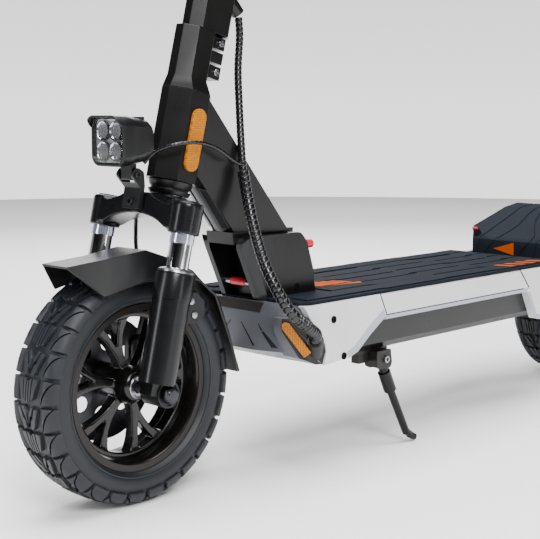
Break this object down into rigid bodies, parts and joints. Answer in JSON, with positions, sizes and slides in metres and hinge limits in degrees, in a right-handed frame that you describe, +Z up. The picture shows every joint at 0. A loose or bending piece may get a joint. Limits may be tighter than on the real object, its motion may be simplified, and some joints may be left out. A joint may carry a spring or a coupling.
{
  "type": "electric kick scooter",
  "caption": "Folding electric kick scooter with a sprung fork, wide knobbly tyres, a grip deck with pale side covers, a raised kick plate and a side stand.",
  "frame": {"origin": "on the ground, below the middle of the scooter's length, on its centre plane", "axes": "+X forward, +Y to the rider's left, +Z up"},
  "size_m": [1.2109, 0.606, 1.1851],
  "materials": {
    "frame_black": "satin black paint",
    "fork_graphite": "satin graphite paint",
    "chrome": "polished",
    "tyre": "matte rubber",
    "rim_black": "satin black",
    "steel": "brushed",
    "plastic_black": "fine grained matte",
    "cover_white": "satin silver white",
    "mat_rubber": "fine grained matte",
    "nose_grey": "satin metallic grey",
    "amber": "retroreflective",
    "red": "satin",
    "lens": "clear",
    "battery_blue": "heat-shrink film",
    "rubber": "matte",
    "cable_black": "satin jacket",
    "screen": "gloss black"
  },
  "bodies": {
    "deck": {"deck_frame": "frame_black", "battery_pack": "battery_blue", "controller": "steel", "deck_mat": "mat_rubber", "nose_cover": "nose_grey", "side_strip_left": "cover_white", "side_strip_right": "cover_white", "front_cover_left": "cover_white", "front_cover_right": "cover_white", "rear_cover_left": "cover_white", "rear_cover_right": "cover_white", "fold_block": "frame_black", "fold_pin": "steel", "kickstand_bracket": "plastic_black", "kick_plate": "plastic_black", "side_reflector_left": "amber", "side_reflector_right": "amber", "rear_shock": "red"},
    "kickstand": {"kickstand": "plastic_black"},
    "fold_release": {"release_knob": "red"},
    "neck": {"neck_frame": "frame_black", "head_reflector_left": "amber", "head_reflector_right": "amber", "lower_headset": "plastic_black", "cable_upper": "cable_black", "cable_lower": "cable_black", "headlight_cable": "cable_black"},
    "steering": {"stem_clamp": "frame_black", "stem_tube": "frame_black", "fork_crown": "fork_graphite", "stanchion_left": "chrome", "stanchion_right": "chrome", "headlight_bracket": "plastic_black", "handlebar": "frame_black", "grip_left": "rubber", "grip_right": "rubber", "display": "screen", "lever_mount_left": "plastic_black", "lever_mount_right": "plastic_black", "brake_hose": "cable_black"},
    "headlight": {"headlight_housing": "plastic_black", "headlight_lens": "lens"},
    "fork_lower": {"fork_lower_left": "fork_graphite", "fork_lower_right": "fork_graphite", "front_fender": "plastic_black", "front_axle": "steel", "front_caliper": "plastic_black"},
    "front_wheel": {"front_tyre": "tyre", "front_rim": "rim_black", "front_disc": "steel"},
    "swingarm": {"swingarm": "frame_black", "rear_fender": "plastic_black", "tail_light": "red"},
    "rear_wheel": {"rear_tyre": "tyre", "rear_rim": "rim_black"},
    "brake_lever_left": {"brake_lever_left": "fork_graphite"},
    "brake_lever_right": {"brake_lever_right": "fork_graphite"},
    "throttle": {"throttle": "plastic_black"},
    "mode_button": {"mode_button": "red"}
  },
  "joints": [
    {"name": "fold_hinge", "type": "hinge", "parent": "deck", "child": "neck", "pos_m": [0.246, 0, 0.2155], "axis": [0, -1, 0], "range_deg": [0, 82], "deforming": ["cable_lower"]},
    {"name": "release_slide", "type": "slide", "parent": "deck", "child": "fold_release", "axis": [-1, 0, 0], "range_m": [0, 0.008], "stiffness_N_per_m": 400, "springref_m": -0.004},
    {"name": "kickstand_hinge", "type": "hinge", "parent": "deck", "child": "kickstand", "pos_m": [0.137, 0.08, 0.1185], "axis": [0, 1, 0], "range_deg": [0, 60], "stiffness_Nm_per_rad": 2, "springref_deg": -57.3},
    {"name": "steering_axis", "type": "hinge", "parent": "neck", "child": "steering", "pos_m": [0.4215, 0, 0.298], "axis": [-0.2419, 0, 0.9703], "range_deg": [-45, 45], "deforming": ["cable_upper", "headlight_cable"]},
    {"name": "headlight_tilt", "type": "hinge", "parent": "steering", "child": "headlight", "pos_m": [0.469, 0, 0.356], "axis": [0, 1, 0], "range_deg": [-15, 15]},
    {"name": "fork_slide", "type": "slide", "parent": "steering", "child": "fork_lower", "axis": [-0.2419, 0, 0.9703], "range_m": [0, 0.03], "stiffness_N_per_m": 8000, "springref_m": -0.02, "deforming": ["brake_hose"]},
    {"name": "front_wheel_spin", "type": "hinge", "parent": "fork_lower", "child": "front_wheel", "pos_m": [0.477, 0, 0.1285], "axis": [0, 1, 0], "continuous": true},
    {"name": "swingarm_pivot", "type": "hinge", "parent": "deck", "child": "swingarm", "pos_m": [-0.283, 0, 0.165], "axis": [0, 1, 0], "range_deg": [0, 5.5], "stiffness_Nm_per_rad": 300, "springref_deg": -6.88, "deforming": ["rear_shock"]},
    {"name": "rear_wheel_spin", "type": "hinge", "parent": "swingarm", "child": "rear_wheel", "pos_m": [-0.464, 0, 0.1285], "axis": [0, 1, 0], "continuous": true},
    {"name": "brake_left", "type": "hinge", "parent": "steering", "child": "brake_lever_left", "pos_m": [0.23237, 0.16, 1.14748], "axis": [-0.2419, 0, 0.9703], "range_deg": [0, 16], "stiffness_Nm_per_rad": 0.8, "springref_deg": -17.19},
    {"name": "brake_right", "type": "hinge", "parent": "steering", "child": "brake_lever_right", "pos_m": [0.23237, -0.16, 1.14748], "axis": [0.2419, 0, -0.9703], "range_deg": [0, 16], "stiffness_Nm_per_rad": 0.8, "springref_deg": -17.19},
    {"name": "throttle_turn", "type": "hinge", "parent": "steering", "child": "throttle", "pos_m": [0.20132, -0.179, 1.13974], "axis": [0, -1, 0], "range_deg": [0, 45], "stiffness_Nm_per_rad": 0.06, "springref_deg": -22.92},
    {"name": "button_press", "type": "slide", "parent": "steering", "child": "mode_button", "axis": [0.6157, 0, -0.788], "range_m": [0, 0.0012], "stiffness_N_per_m": 400, "springref_m": -0.001}
  ]
}
